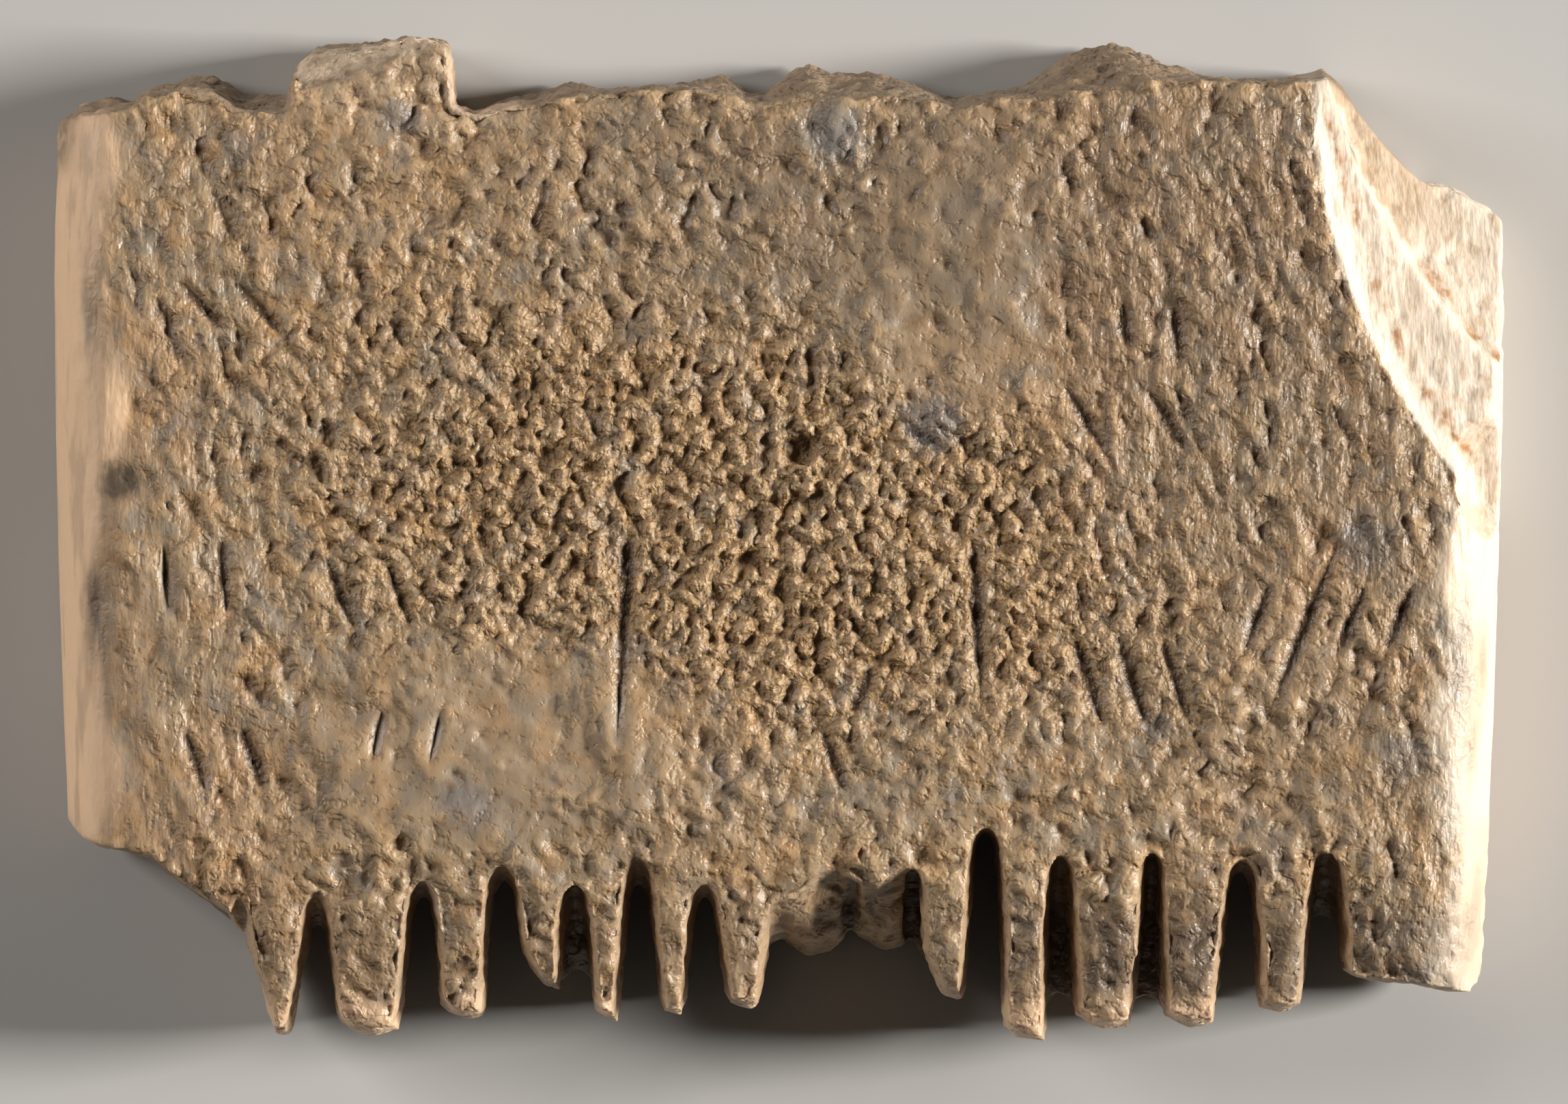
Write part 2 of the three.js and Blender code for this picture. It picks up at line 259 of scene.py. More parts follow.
# The face is level as far as the first reach, and thins over the second towards both rows of teeth.
LEVEL_REACH, THINNED_REACH = 7.0, 5.2
FINE_THINNING, COARSE_THINNING = 0.95, 0.45

thinned = np.clip((np.abs(y) - LEVEL_REACH) / THINNED_REACH, 0, 1) ** 1.5
front_z = THICKNESS - np.where(y < 0, FINE_THINNING, COARSE_THINNING) * thinned
below = front_z - z
upward = smooth(0.35, 0.8, facing[:, 2])
backward = smooth(0.4, 0.8, -facing[:, 2])
flaked = smooth(-0.08, 0.08, inside(OUTER_FLAKE)) * smooth(0.02, 0.15, below)
face = upward * (1 - flaked) * smooth(2.2, 1.2, below)
edge_wander = 0.8 * noise(waves(1.5, (1, 2.5, 1), 0, 300)) + 0.5 * noise(waves(0.5, (1, 4, 1), 0, 310))
left_end = smooth(-14.7, -16.8, x + edge_wander)
right_end = smooth(15.3, 17.1, x + edge_wander)
ends = np.maximum(left_end, right_end)
broken = (1 - upward) * (smooth(8.5, 9.5, y) + 0.35 * smooth(-6.2, -7.2, y))
teeth = smooth(-7.9, -9.0, y)
cut = upward * smooth(0.03, 0.16, below) * (1 - smooth(0.22, 0.4, below)) * (1 - flaked)
cut *= (1 - ends) * smooth(-7.4, -6.6, y)
print("the flakes take", round(float((flaked * upward).sum() / upward.sum()), 3), "of what faces up")

# %% [markdown]
# ## The wear of the face
# The middle of the face is eaten into grains, the lower left is waxy and smooth with shallow scales, both
# sides show the streaks of the tusk, and some parts are duskier than others. Each kind of wear is laid out
# by a few large ellipses or bands with soft borders, because its borders on the real comb are soft too.

# %% Wear of the face
grainy = near(-0.5, 0.3, 8.0, 4.6) + 0.8 * near(5.0, -2.0, 5.0, 4.0) + 0.5 * near(-8.0, 2.0, 5.0, 5.0)
waxy = near(-6.8, -5.0, 4.6, 2.6) + 0.8 * near(4.1, 6.2, 2.4, 3.4) + 0.4 * near(5.0, -5.2, 3.5, 2.0)
waxy = np.clip(waxy + 0.7 * near(-15.3, -3.5, 1.7, 4.5), 0, 1)
dusky = near(1.0, 9.0, 6.0, 3.5, 0.8) + near(11.0, 7.0, 5.0, 5.5, 0.8) + 0.5 * near(12.0, -3.0, 4.0, 4.0, 0.8)
dusky = np.clip(dusky, 0, 1)
streaky = smooth(5.0, 8.0, x) * smooth(-4, 1, y) + smooth(-11.0, -13.0, x) + smooth(13, 15, x)
streaky = np.clip(streaky, 0, 1)
grainy = np.clip(grainy, 0, 1) * (1 - 0.9 * waxy) * (1 - 0.6 * streaky)
print("of the face is grainy", round(float((grainy * face).sum() / face.sum()), 2))

# %% [markdown]
# ## Relief of the face
# The relief is a height at each vertex, in millimetres, and each vertex later moves by it in the direction
# that it faces. On the face it is made of gentle hollows, scales with steep scalloped edges, long streaks,
# and crowded pits with grains standing between them. Each part has its own depth and its own zones, so
# that one can be changed without the others.

# %% Relief of the face
STREAK_DEPTH, PIT_DEPTH, PRICK_DEPTH = 0.11, 0.125, 0.05
CRUMB_HEIGHT, LUMP_HEIGHT, GRAIN_HEIGHT = 0.05, 0.08, 0.17
SCALE_EDGES = (-0.45, -0.1, 0.2, 0.55)

warp = np.stack([noise(waves(0.6, shift=shift)) for shift in (3, 5, 9)], axis=1)
warped = waves(1.0) + 0.25 * warp
hollows = 0.07 * noise(waves(3.2, shift=11)) + 0.05 * noise(waves(1.3, shift=17))
scales = noise(warped / 1.9 + 40) + 0.45 * noise(warped / 0.8 + 50)
steps = sum(smooth(edge - 0.04, edge + 0.04, scales) for edge in SCALE_EDGES) * (0.035 + 0.03 * waxy)
streaks = noise(waves(0.28, (1, 3.2, 1), 14, 60)) + 0.4 * noise(waves(0.19, (1, 3.0, 1), 10, 70))
pits = noise(warped / 0.5 + 80) + 0.7 * noise(warped / 0.26 + 85)
crumbly = noise(warped / 0.32 + 95) + 0.4 * noise(waves(0.2, shift=98))
lumps = noise(waves(0.5, (1, 1.7, 1), 12, 400)) + 0.6 * noise(waves(0.27, (1, 1.8, 1), 12, 410))
grains = 1 - scattered(warped / 0.31 + 20)
pricks = noise(waves(0.45, shift=120))
patches = smooth(-0.35, 0.4, noise(waves(1.5, shift=130)) + 0.5 * noise(waves(0.7, shift=135)))

even = 1 - 0.8 * waxy
relief = hollows + steps
relief -= STREAK_DEPTH * (0.25 + 0.75 * streaky) * even * (0.4 + 0.6 * patches) * smooth(-0.1, 0.35, streaks)
relief -= PIT_DEPTH * (0.35 + 0.65 * patches) * even * (1 - 0.35 * streaky) * smooth(-0.02, 0.26, pits)
relief += CRUMB_HEIGHT * (0.15 + 0.85 * grainy) * even * crumbly
relief += LUMP_HEIGHT * (0.35 + 0.65 * even) * (1 - 0.4 * streaky) * lumps
relief += GRAIN_HEIGHT * grainy * (smooth(0.3, 0.72, grains) - 0.6)
relief -= PRICK_DEPTH * smooth(0.45, 0.6, pricks)
print("the face's relief spreads by", round(float(relief.std()), 3), "mm")

# %% [markdown]
# ## Single pits and crusts
# A few deep pits and crusts of hard soil catch the eye, so they stand at their own places. The rest of the
# relief has no plan, and isn't followed pit by pit.

# %% Single pits and crusts
# Each has its place on the face, its radius, and its depth or height, in millimetres.
SINGLE_PITS = [
    (0.5, 2.2, 0.36, 0.32),
    (-15.8, 1.4, 0.42, 0.12),
    (-9.1, -7.3, 0.2, 0.16),
    (15.15, 4.2, 0.18, 0.15),
    (-12.65, 1.6, 0.2, 0.12),
    (-7.75, -2.6, 0.12, 0.12),
]
CRUSTS = [
    (-8.0, 7.1, 0.55, 0.13),
    (6.7, -5.9, 0.75, 0.14),
    (-13.4, -7.4, 0.5, 0.12),
    (-5.0, -6.25, 0.6, 0.12),
]

wobble = 1 + 0.5 * noise(waves(0.35, shift=150))
crumbs = 0.35 + smooth(-0.1, 0.5, noise(waves(0.3, shift=160)))
for px, py, radius, depth in SINGLE_PITS:
    relief -= depth * near(px, py, radius, radius, 0.4) * wobble
for px, py, radius, height in CRUSTS:
    relief += height * near(px, py, radius, radius * 0.8, 0.7) * crumbs
relief -= (relief * face).sum() / face.sum()
print("placed", len(SINGLE_PITS), "pits and", len(CRUSTS), "crusts")

# %% [markdown]
# ## Strokes
# The shallow strokes are in the solid already, but lumps of the same size would hide them. So the skin
# beside a stroke is calmed towards its own level, and the stroke is cut a little deeper.

# %% Strokes
STROKE_DEPTH = 0.08

groove = averaged(cut, 3)
calm = 0.75 * smooth(0.0, 0.08, averaged(cut, 9))
level = averaged(relief, 60)
face_relief = (relief - calm * (relief - level)) * (1 - 0.85 * ends) - STROKE_DEPTH * groove
print("strokes take", round(float((groove * face).sum() / face.sum()), 3), "of the face")

# %% [markdown]
# ## Breaks, flakes, flanks and back
# A break in ivory is craggy, because the layers of the tusk tear apart. A flake lifts off cleanly and
# leaves ripples along the grain. The flanks of the teeth are ragged from the saw and from wear, and the
# back, which nobody sees, is plainer.

# %% Breaks, flakes, flanks and back
crags = 0.35 - np.abs(noise(waves(0.9, shift=200))) + 0.7 * (0.35 - np.abs(noise(waves(0.4, shift=205))))
rough = (0.2 * crags + 0.07 * noise(waves(0.25, shift=210)) - 0.04) * smooth(0.05, 0.6, below)
ripples = 0.07 * noise(waves(0.7, (1, 5, 1), 12, 220)) + 0.04 * noise(waves(0.28, (1, 2.5, 1), 12, 230))
ripples -= 0.06 * smooth(0.25, 0.5, noise(waves(0.5, shift=235)))
nicks = smooth(0.1, 0.5, noise(waves(0.3, (1, 2.5, 1), 0, 250)))
plain = 0.02 * noise(waves(1.1, shift=240)) - 0.03 * nicks - 0.02
ragged = teeth * (0.06 * noise(waves(0.6, (1, 1.6, 1), 0, 500)) + 0.05 * noise(waves(0.28, shift=510)))

side = np.clip(1 - face - flaked - backward, 0, 1)
moved = face * face_relief + flaked * ripples + backward * (plain - 0.01)
moved += side * (broken * rough + (1 - broken) * (plain * (1 - 0.5 * ends) + ragged))
print("the breaks go down by", round(float(-(side * broken * rough).min()), 3), "mm")

# %% [markdown]
# ## Chipped edges
# Every sharp edge has lost chips, the face's own rim wavers, and two saw cuts run down the snapped stretch
# between the fine teeth. The vertices then move. In and beside the strokes the skin is softened a little,
# and nothing may sink below the floor.

# %% Chipped edges
# Each has its middle on the face, its half width and its half length, in millimetres.
SAW_CUTS = [(1.75, -9.0, 0.16, 0.9), (3.22, -9.0, 0.14, 1.0)]
SAW_DEPTH = 0.22

chips = np.clip(noise(waves(0.55, shift=260)) + 0.6 * noise(waves(0.25, shift=270)), -0.5, 1)
chipped = averaged(smooth(0.01, 0.09, corner_height), 2) * (1 - ends) * (1 - flaked) * (1 - backward)
moved -= chipped * (0.08 + (0.15 - 0.08 * teeth) * chips)
edge_of_face = 4 * upward * (1 - upward) * (1 - ends) * (1 - flaked) * (1 - cut)
moved += edge_of_face * (0.09 * noise(waves(0.6, shift=520)) + 0.07 * noise(waves(0.27, shift=530)) - 0.02)
sawn = np.maximum(*[near(*saw_cut) for saw_cut in SAW_CUTS]) * smooth(4.2, 3.9, z) * (1 - backward)
moved -= SAW_DEPTH * sawn
moved = 0.7 * moved + 0.3 * averaged(moved, 1)

place += facing * moved[:, None]
place += (0.6 * smooth(0.01, 0.15, groove))[:, None] * (settled(place, 2) - place)
place[:, 2] = np.maximum(place[:, 2], 0)
put_back(place)
print("the relief runs from", round(float(moved.min()), 3), "to", round(float(moved.max()), 3), "mm")

# %% [markdown]
# ## Where dirt stays, and where rubbing and painted highlight lighten
# Dirt stays in hollows, and what stands up is painted lighter, as rubbing and highlight. Each vertex is
# compared with the skin round it, averaged over a few tenths of a millimetre: above it is a ridge, and below
# it a hollow. Painting them by hand would take days, and would miss most of them.

# %% Ridges and hollows
FULL_RIDGE = 0.06

standing = stands_out(place, 14)
# Painted highlight as well as rubbing: what stands out of the skin is made lighter by this weight.
ridge_wear_and_highlight = np.clip(standing / FULL_RIDGE, 0, 1)
hollow = np.clip(-standing / FULL_RIDGE, 0, 1)
lifted = averaged(normals(comb.data)[:, 2], 2)
print("half of the skin lies within", round(float(np.percentile(np.abs(standing), 50)), 4), "mm of its level")

# %% [markdown]
# ## Colours of the teeth and the stump
# The walls of the slots are painted dark deep down, as shade and soil, the flanks beside them are rubbed
# pale, and the fronts of the teeth are dark with soil. The tips of the teeth and the end of the stump are the
# palest, as later breaks are. These zones follow the height over the floor as much as the place on the face.

# %% Teeth and stump
snapped = smooth(-0.6, 0.0, x) * smooth(3.6, 3.2, x)
# Painted shade as well as soil: the slots and saw cuts between the teeth are darkened low down.
slot_shade_and_soil = np.maximum(smooth(2.6, 1.6, z) * teeth * (1 - snapped), sawn) * (1 - backward)
fronts = face * smooth(-8.2, -9.4, y) * smooth(-11.6, -10.8, y) * (0.45 + 0.55 * smooth(2.0, 8.0, x))
flank = teeth * smooth(0.85, 0.55, lifted) * smooth(-0.3, 0.0, lifted) * smooth(1.2, 2.4, z)
flank = np.maximum(flank, smooth(-11.0, -11.6, y) * (1 - backward)) * (1 - snapped)
tips = smooth(-10.7, -11.5, y + 0.25 * edge_wander) * smooth(0.5, 2.0, z) * (1 - backward)
fresh = np.maximum(on_stump * smooth(0.0, 0.25, beyond), near(-7.1, 11.2, 0.9, 1.1))
fresh = np.maximum(fresh, 0.3 * near(-9.2, 11.0, 2.3, 1.2)) * smooth(1.2, 3.4, z)
print("dark fronts take", round(float(fronts.mean()), 3), "of the skin")
print("pale tips take", round(float(tips.mean()), 3), "of the skin")

# %% [markdown]
# ## Colours of the flakes
# The two layers that came off have sharp lips, painted light as a highlight over their cream, and a band of
# brown and painted shade just inside them. Past the inner rim the ivory is a little darker. All of these
# follow the rims' own circles, with some wander so that they don't look drawn. The rounded end beside the
# flakes, which faces the key light, gets a painted highlight nearly as light as the lips.

# %% Painted highlights on the lips, brown and painted shade by the rims, and bruise
flake_wander = 0.12 * noise(waves(0.5, shift=285)) + 0.12 * noise(waves(1.6, shift=287))
past_outer = inside(OUTER_FLAKE) + flake_wander
past_inner = inside(INNER_FLAKE) + flake_wander

# Painted highlight over the cream of the flake lips.
lip_and_end_highlight = np.maximum(smooth(0.5, 0.25, past_outer), 0.8 * smooth(0.14, 0.03, np.abs(past_inner - 0.05)))
lip_and_end_highlight *= flaked * smooth(0.1, 0.4, facing[:, 2])
# Painted highlight: the rounded right end, which faces the key light, is lightened as well.
lip_and_end_highlight = np.maximum(lip_and_end_highlight, 0.7 * right_end * (1 - flaked) * smooth(1.0, 2.5, z))
# Painted shade as well as brown: a band just inside each rim.
band = np.maximum(smooth(0.22, 0.05, np.abs(past_outer - 0.6)), smooth(0.2, 0.05, np.abs(past_inner - 0.3)))
band *= flaked * smooth(-0.2, 0.3, noise(waves(0.8, shift=280)) + 0.1) * smooth(0.2, 0.5, facing[:, 2])
bruise = flaked * smooth(0.05, 0.2, past_inner) * smooth(1.9, 0.9, past_inner) * smooth(6.3, 8.3, y)
print("light lips take", round(float(lip_and_end_highlight.mean()), 3), "of the skin")

# %% [markdown]
# ## Fewer triangles, kept where they show
# Most of the skin's squares lie on the plain back and flanks. Collapsing edges where the skin is flattest
# leaves nearly all the triangles to the carved face. Each vertex that is left then looks up its nearest
# place on the fine skin.

# %% Decimate
apply_modifier(comb, "TRIANGULATE")
apply_modifier(comb, "DECIMATE", ratio=min(1, TRIANGLES / len(comb.data.polygons)))
print("the comb has", len(comb.data.polygons), "triangles")

tree = kdtree.KDTree(len(place))
for index, point in enumerate(place):
    tree.insert(point, index)
tree.balance()
closest = np.array([tree.find(vertex.co)[1] for vertex in comb.data.vertices])

# %% [markdown]
# ## Zones as attributes
# The finish can't see arrays, but it can read attributes of the mesh by their names. So every zone is
# written down at each vertex, and the comb goes back from millimetres to metres.

# %% Attributes
readings = {
    "face": face,
    "flaked": flaked,
    "ends": ends * (1 - flaked) * (0.5 + 0.5 * smooth(0.4, 2.2, z)),
    "broken": np.clip(broken, 0, 1),
    "cut": cut,
    "grainy": grainy,
    "waxy": waxy,
    "streaky": streaky,
    "hollow": hollow,
    "ridge_wear_and_highlight": ridge_wear_and_highlight,
    "slot_shade_and_soil": slot_shade_and_soil,
    "lip_and_end_highlight": lip_and_end_highlight,
    "band": band,
    "fronts": fronts,
    "flank": flank,
    "bruise": bruise,
    "fresh": fresh,
    "tips": tips,
    "dusky": dusky * face,
}
for name, values in readings.items():
    attribute = comb.data.attributes.new(name, "FLOAT", "POINT")
    attribute.data.foreach_set("value", values[closest].astype(np.float32))
comb.data.transform(Matrix.Scale(MM, 4))
only(comb)
bpy.ops.object.shade_smooth()
print("wrote", len(readings), "zones")

# %% [markdown]
# ## Shader maths in plain arithmetic
# A finish is a sum of simple parts, so a small class lets shader sockets be added, multiplied and mixed
# with Python's own operators. Wiring the nodes by hand would do the same, but nobody could read it.


# %% Shader terms
class Term:
    """A socket in a material's node tree. Arithmetic on it adds the nodes that do it."""

    def __init__(self, tree, socket=None):
        self.tree = tree
        self.socket = socket

    def node(self, kind, inputs, output=0, **settings):
        """Adds a node with its settings. Its inputs are values or other terms."""
        made = self.tree.nodes.new(kind)
        for name, value in settings.items():
            setattr(made, name, value)
        for name, value in inputs.items():
            if isinstance(value, Term):
                self.tree.links.new(value.socket, made.inputs[name])
            else:
                made.inputs[name].default_value = value
        return Term(self.tree, made.outputs[output])

    def maths(self, operation, *values):
        return self.node("ShaderNodeMath", dict(enumerate(values)), operation=operation)

    def __add__(self, other):
        return self.maths("ADD", self, other)

    def __sub__(self, other):
        return self.maths("SUBTRACT", self, other)

    def __rsub__(self, other):
        return self.maths("SUBTRACT", other, self)

    def __mul__(self, other):
        return self.maths("MULTIPLY", self, other)

    def __truediv__(self, other):
        return self.maths("DIVIDE", self, other)

    def __rtruediv__(self, other):
        return self.maths("DIVIDE", other, self)

    __radd__ = __add__
    __rmul__ = __mul__

    def __abs__(self):
        return self.maths("ABSOLUTE", self)

    def smooth(self, low, high):
        """0 below low and 1 above high, with a soft step between."""
        limits = {"Value": self, "From Min": low, "From Max": high}
        return self.node("ShaderNodeMapRange", limits, interpolation_type="SMOOTHSTEP")

    def mixed(self, tint, share):
        """This colour with another mixed in by a share."""
        inputs = {0: share, 6: self, 7: tint}
        return self.node("ShaderNodeMix", inputs, 2, data_type="RGBA", blend_type="MIX", clamp_factor=True)

    def painted(self, layers):
        """This colour with others laid over it in turn, each by its own share."""
        result = self
        for tint, share in layers:
            result = result.mixed(tint, share)
        return result

    def attribute(self, name):
        return self.node("ShaderNodeAttribute", {}, "Fac", attribute_name=name)

    def place(self):
        return self.node("ShaderNodeTexCoord", {}, "Object")

    def scaled(self, size, stretch=(1, 1, 1)):
        """Places on the object in waves of a size in millimetres."""
        factor = [1 / (size * MM * along) for along in stretch]
        return self.node("ShaderNodeVectorMath", {0: self.place(), 1: factor}, operation="MULTIPLY")

    def noise(self, size, stretch=(1, 1, 1), detail=2.0, distortion=0.0):
        """Smooth noise from 0 to 1, in waves of a size in millimetres."""
        inputs = {"Vector": self.scaled(size, stretch), "Scale": 1.0}
        inputs.update({"Detail": detail, "Distortion": distortion})
        return self.node("ShaderNodeTexNoise", inputs)

    def grains(self, size, stretch=(1, 1, 1)):
        """The distance to the nearest of many scattered points."""
        return self.node("ShaderNodeTexVoronoi", {"Vector": self.scaled(size, stretch), "Scale": 1.0})


def colour(red, green, blue):
    return (red, green, blue, 1.0)


# %% [markdown]
# ## Patterns in the ivory
# Old ivory is never one colour. Broad drifts, patches of about a millimetre, fibres along the tusk and pits
# finer than the mesh can hold are each one noise, and the finish draws on them all. Noise on the object's
# own places is used, so that nothing stretches or shows a seam.

# %% Patterns
# Each noise has the size of its waves in millimetres.
ivory = bpy.data.materials.new("ivory")
ivory.use_nodes = True
shader = ivory.node_tree.nodes["Principled BSDF"]
start = Term(ivory.node_tree)
zone = {name: start.attribute(name) for name in readings}

broad = start.noise(5.0, detail=3.0)
patchy = start.noise(1.1, detail=4.0)
amber = start.noise(0.75, (1, 1.6, 1), distortion=0.4)
wiped = start.noise(0.5, (1, 5, 1), detail=4.0)
fine = start.noise(0.3, detail=3.0)
fibre = start.noise(0.2, (1, 4, 1))
grit = start.grains(0.2, (1, 1.4, 1))
mottled = patchy.smooth(0.4, 0.6)

bite = start.noise(0.32, distortion=0.3) + (patchy - 0.5) * 0.3 + zone["grainy"] * 0.05
bite = bite + (fibre - 0.5) * zone["streaky"] * 0.8 - zone["waxy"] * 0.12
nibble = start.noise(0.15, detail=1.0, distortion=0.2) + zone["grainy"] * 0.06 - zone["waxy"] * 0.1
worn = (1 - zone["ends"]) * (1 - zone["flaked"])
bitten = bite.smooth(0.44, 0.84) * worn
nibbled = nibble.smooth(0.42, 0.84) * worn
pit_rims = 1 - abs(bite - 0.56).smooth(0.0, 0.07)
print("the patterns take", len(ivory.node_tree.nodes), "nodes")

# %% [markdown]
# ## The colours of the face
# Ivory starts nearly white. Oil, handling and soil turn it honey and olive brown, more golden round each
# pit and greyer in patches. The colours are laid over each other from broad to fine, as a painter would.

# %% Colours of the face
HONEY = colour(0.52, 0.355, 0.21)
OLIVE = colour(0.44, 0.33, 0.215)
WARM_TAN = colour(0.54, 0.33, 0.185)
AMBER = colour(0.62, 0.36, 0.16)
TAUPE = colour(0.37, 0.30, 0.245)
GOLDEN = colour(0.62, 0.375, 0.145)
WAXEN = colour(0.42, 0.31, 0.205)
RUSTY = colour(0.42, 0.22, 0.08)
GREYISH = colour(0.34, 0.30, 0.245)
DUSKY = colour(0.26, 0.19, 0.13)

drifts = start.node("ShaderNodeMix", {0: broad.smooth(0.35, 0.65), 6: HONEY, 7: OLIVE}, 2, data_type="RGBA")
tan = drifts.painted([
    (WARM_TAN, zone["streaky"] * broad.smooth(0.6, 0.4) * 0.5),
    (AMBER, amber.smooth(0.5, 0.66) * 0.55),
    (TAUPE, amber.smooth(0.46, 0.32) * 0.6),
    (GOLDEN, pit_rims * (0.25 + zone["grainy"] * 0.35) * worn),
    (GOLDEN, nibble.smooth(0.45, 0.6) * (0.15 + zone["grainy"] * 0.35) * worn),
    (WAXEN, zone["waxy"] * 0.35),
    (RUSTY, fine.smooth(0.5, 0.72) * 0.35),
    (GREYISH, patchy.smooth(0.46, 0.34) * 0.5),
    (DUSKY, zone["dusky"] * 0.55),
])

# %% [markdown]
# ## Dirt and rubbing
# Dirt stays dark in every pit, hollow and stroke. The slots are painted darkest, as shade and soil, ridges
# are painted lighter, as highlight and rubbing, and the flanks of the teeth are rubbed lighter. A thin brown
# film lies over all of that.

# %% Dirt
# Lighter on ridges, as rubbing and painted highlight.
RUBBED_AND_HIGHLIGHT = colour(0.72, 0.50, 0.28)
SOIL = colour(0.20, 0.12, 0.06)
PIT_SOIL = colour(0.20, 0.115, 0.05)
STROKE_SOIL = colour(0.12, 0.07, 0.035)
FRONT_SOIL = colour(0.15, 0.11, 0.08)
FLANK_CREAM = colour(0.66, 0.47, 0.30)
# Darker in the slots, as soil and painted shade.
SLOT_SHADE_AND_SOIL = colour(0.13, 0.085, 0.05)
FILM = colour(0.06, 0.04, 0.025)

dirty = tan.painted([
    # Ridges lightened as rubbing and painted highlight.
    (RUBBED_AND_HIGHLIGHT, zone["ridge_wear_and_highlight"].smooth(0.1, 0.9) * 0.65),
    (SOIL, zone["hollow"].smooth(0.15, 0.95) * 0.55),
    (PIT_SOIL, bitten * 0.5 + nibbled * 0.25),
    (STROKE_SOIL, zone["cut"].smooth(0.05, 0.6) * 0.85),
    (FRONT_SOIL, zone["fronts"] * (0.45 + mottled * 0.45)),
    (FLANK_CREAM, zone["flank"] * (0.1 + mottled * 0.5)),
    # Slots darkened as soil and painted shade.
    (SLOT_SHADE_AND_SOIL, zone["slot_shade_and_soil"] * 0.7),
    (FILM, 0.1),
])

# %% [markdown]
# ## Polished ends, flakes and breaks
# Where hands polished the rounded ends, or a flake came off, the cream below shows. Old breaks are brown
# and newer ones pale, so each has its own colour, broken up by the patterns so that no border is hard.

# %% Ends, flakes and breaks
POLISHED = colour(0.96, 0.66, 0.42)
END_STREAK = colour(0.50, 0.37, 0.26)
CREAM = colour(0.82, 0.70, 0.56)
FLAKE_SPECK = colour(0.58, 0.36, 0.18)
FLAKE_PATCH = colour(0.66, 0.49, 0.32)
# Brown and painted shade along the rims.
RIM_BROWN_AND_SHADE = colour(0.42, 0.20, 0.07)
BRUISED = colour(0.56, 0.39, 0.23)
# Painted highlight on the flake lips and the right end.
LIP_CREAM_AND_HIGHLIGHT = colour(0.90, 0.80, 0.64)
OLD_BREAK = colour(0.28, 0.20, 0.13)
PALE_TIP = colour(0.84, 0.58, 0.37)
NEW_BREAK = colour(0.80, 0.62, 0.44)

polish = (zone["ends"] + (wiped - 0.5) * 0.9).smooth(0.5, 1.0)
clean = dirty.painted([
    (POLISHED, polish),
    (END_STREAK, zone["ends"] * wiped.smooth(0.46, 0.34) * 0.35),
    (CREAM, zone["flaked"] * 0.94),
    (FLAKE_SPECK, zone["flaked"] * fine.smooth(0.5, 0.68) * 0.35),
    (FLAKE_PATCH, zone["flaked"] * patchy.smooth(0.5, 0.62) * 0.3),
    # Brown band with painted shade along the rims.
    (RIM_BROWN_AND_SHADE, zone["band"] * (0.4 + fine.smooth(0.4, 0.6) * 0.6)),
    (BRUISED, zone["bruise"] * (0.4 + fine * 0.6)),
    # Painted highlight on the flake lips and the right end.
    (LIP_CREAM_AND_HIGHLIGHT, zone["lip_and_end_highlight"] * 0.9),
    (OLD_BREAK, zone["broken"] * (0.5 + patchy.smooth(0.35, 0.6) * 0.45)),
    (PALE_TIP, zone["tips"] * (0.5 + mottled * 0.4)),
    (NEW_BREAK, zone["fresh"] * (0.95 - fine.smooth(0.46, 0.68) * 0.5)),
])

# %% [markdown]
# ## Stains
# A few grey and brown stains have their own places on the real comb, some of them round the single pits.
# Each is a ball of colour at the height of the face, with a ragged border, because a painted map of the
# face would be a picture and not a finish.

# %% Stains
# Each has its place on the face and its radius, in millimetres, then its colour and its strength.
STAINS = [
    (0.5, 2.2, 0.42, (0.03, 0.02, 0.012), 0.95),
    (-15.8, 1.4, 0.6, (0.05, 0.04, 0.03), 0.8),
    (-12.65, 1.6, 0.35, (0.07, 0.05, 0.035), 0.6),
    (1.3, 9.8, 1.0, (0.26, 0.26, 0.25), 0.6),
    (3.7, 2.8, 0.9, (0.22, 0.22, 0.22), 0.6),
    (14.1, 0.0, 0.9, (0.16, 0.15, 0.14), 0.6),
    (-7.4, -6.3, 0.8, (0.22, 0.22, 0.23), 0.5),
    (9.1, -4.5, 0.5, (0.14, 0.13, 0.12), 0.6),
    (-9.5, 11.3, 0.6, (0.20, 0.15, 0.11), 0.5),
    (6.0, 11.6, 0.9, (0.16, 0.12, 0.09), 0.6),
    (-9.0, 10.1, 0.7, (0.13, 0.13, 0.14), 0.6),
    (-13.0, 9.4, 0.6, (0.20, 0.19, 0.18), 0.5),
    (11.8, -7.6, 0.7, (0.20, 0.17, 0.15), 0.5),
    (15.0, -5.2, 0.8, (0.22, 0.19, 0.17), 0.5),
]

here = start.place()
stained = clean
for px, py, radius, tint, strength in STAINS:
    middle = (px * MM, py * MM, THICKNESS * MM)
    away = start.node("ShaderNodeVectorMath", {0: here, 1: middle}, "Value", operation="DISTANCE")
    share = (away / (radius * MM) + fine * 0.8).smooth(1.5, 0.8) * strength
    stained = stained.mixed(colour(*tint), share)
print("the comb has", len(STAINS), "stains")

# %% [markdown]
# ## Fine bumps and gloss
# The finest pits, fibres and grit are smaller than the mesh's triangles, so they are bumps in the finish.
# Ivory lets a little light in, which softens its shadows, and it is duller where it is bitten or broken.

# %% Bumps and gloss
BUMP_STRENGTH = 0.95
BUMP_DEPTH = 0.06
LIGHT_DEPTH = 0.25

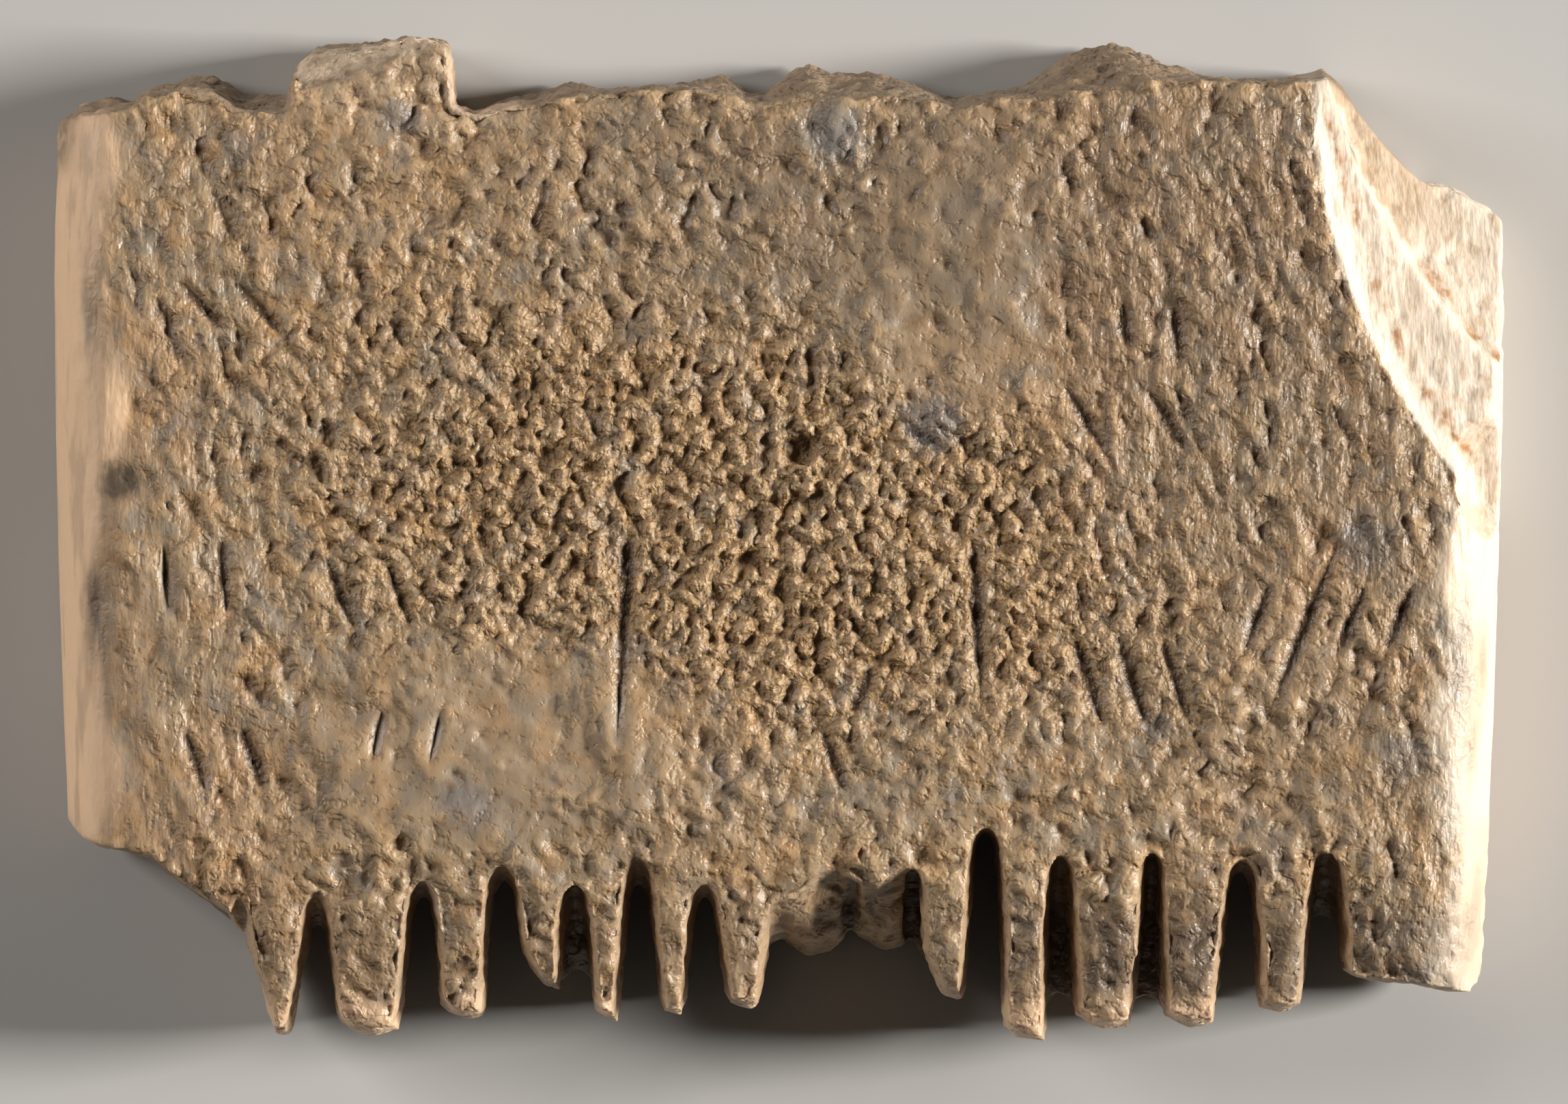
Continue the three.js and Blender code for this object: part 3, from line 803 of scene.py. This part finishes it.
bumps = fine * 0.5 + (fibre - 0.5) * (0.4 + zone["streaky"] * 1.3) + (1 - grit) * (0.2 + zone["grainy"] * 0.9)
bumps = bumps * (1 - zone["ends"] * 0.55) * (1 - zone["waxy"] * 0.5) * (1 - zone["flaked"] * 0.3)
bumps = bumps - bitten * 1.3 - nibbled * (0.35 + zone["grainy"] * 0.4)
bump_inputs = {"Height": bumps, "Strength": BUMP_STRENGTH, "Distance": BUMP_DEPTH * MM}
normal = start.node("ShaderNodeBump", bump_inputs)
roughness = 0.44 - fine.smooth(0.5, 0.7) * 0.1 + zone["ends"] * 0.08
roughness = roughness + bitten * 0.2 + zone["flaked"] * 0.15 + zone["broken"] * 0.2

for name, term in (("Base Color", stained), ("Roughness", roughness), ("Normal", normal)):
    ivory.node_tree.links.new(term.socket, shader.inputs[name])
shader.inputs["Specular IOR Level"].default_value = 0.5
shader.inputs["Subsurface Weight"].default_value = 0.2
shader.inputs["Subsurface Radius"].default_value = (1.0, 0.55, 0.3)
shader.inputs["Subsurface Scale"].default_value = LIGHT_DEPTH * MM
comb.data.materials.append(ivory)

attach(comb, "root")
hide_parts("comb")
print("the finish takes", len(ivory.node_tree.nodes), "nodes")

# %% [markdown]
# ## Floor
# The comb lies on its back on a plain pale floor. The floor is wide enough to fill the frame from every
# side, and dull, so that it shows the comb's shadow and nothing else.


# %% Floor
FLOOR_WIDTH = 4.0

bpy.ops.object.select_all(action="DESELECT")
bpy.ops.mesh.primitive_plane_add(size=FLOOR_WIDTH, location=(0, 0, 0))
floor = bpy.context.active_object
floor.name = "floor"
paint = bpy.data.materials.new("floor_paint")
paint.use_nodes = True
paint.node_tree.nodes["Principled BSDF"].inputs["Base Color"].default_value = colour(0.62, 0.61, 0.59)
paint.node_tree.nodes["Principled BSDF"].inputs["Roughness"].default_value = 0.9
floor.data.materials.append(paint)

# %% [markdown]
# ## Light
# A strong key light rakes over the comb from the right, so that every pit throws a shadow to the left, and
# a weaker fill light opens the shadows from the upper left. Light from above would flatten the relief.


# %% Lights
def area_light(name, azimuth, elevation, distance, size, power, tint):
    """A square light that looks at the comb from a direction, in degrees from +X and above the floor."""
    turn, lift = math.radians(azimuth), math.radians(elevation)
    light = bpy.data.lights.new(name, "AREA")
    light.size = size
    light.energy = power
    light.color = tint
    lamp = bpy.data.objects.new(name, light)
    bpy.context.scene.collection.objects.link(lamp)
    lamp.location = [
        distance * math.cos(lift) * math.cos(turn),
        distance * math.cos(lift) * math.sin(turn),
        distance * math.sin(lift),
    ]
    lamp.rotation_euler = (0, math.pi / 2 - lift, turn)


area_light("key", azimuth=4, elevation=21, distance=0.5, size=0.1, power=4.1, tint=(1.0, 0.97, 0.93))
area_light("fill", azimuth=158, elevation=27, distance=0.5, size=0.2, power=1.25, tint=(1.0, 0.96, 0.92))

world = bpy.data.worlds.new("studio")
world.use_nodes = True
world.node_tree.nodes["Background"].inputs["Color"].default_value = colour(1.0, 0.98, 0.95)
world.node_tree.nodes["Background"].inputs["Strength"].default_value = 0.03
bpy.context.scene.world = world
bpy.context.scene.view_settings.view_transform = "Standard"
print("the comb is lit by", len(bpy.data.lights), "lights")

# %% [markdown]
# ## Camera
# The camera looks straight down, as it does in the photograph. It is 300 mm away with a long lens, so that
# the sides of the comb hardly show, and the frame is as wide as the photograph is at the comb's own scale.

# %% Camera
DISTANCE = 300.0
AIM = (0.131, -0.296, 3.5)
PHOTO_PIXELS = 2296
PIXELS_PER_MM = 60.86
SENSOR_WIDTH = 36.0

camera = bpy.data.cameras.new("camera")
camera.sensor_width = SENSOR_WIDTH
camera.lens = SENSOR_WIDTH * DISTANCE / (PHOTO_PIXELS / PIXELS_PER_MM)
camera.clip_start = 0.005
camera.clip_end = 20.0
viewer = bpy.data.objects.new("camera", camera)
bpy.context.scene.collection.objects.link(viewer)
viewer.location = (AIM[0] * MM, AIM[1] * MM, (AIM[2] + DISTANCE) * MM)
viewer.rotation_euler = (0, 0, 0)
bpy.context.scene.camera = viewer
print("the lens is", round(camera.lens, 1), "mm long")
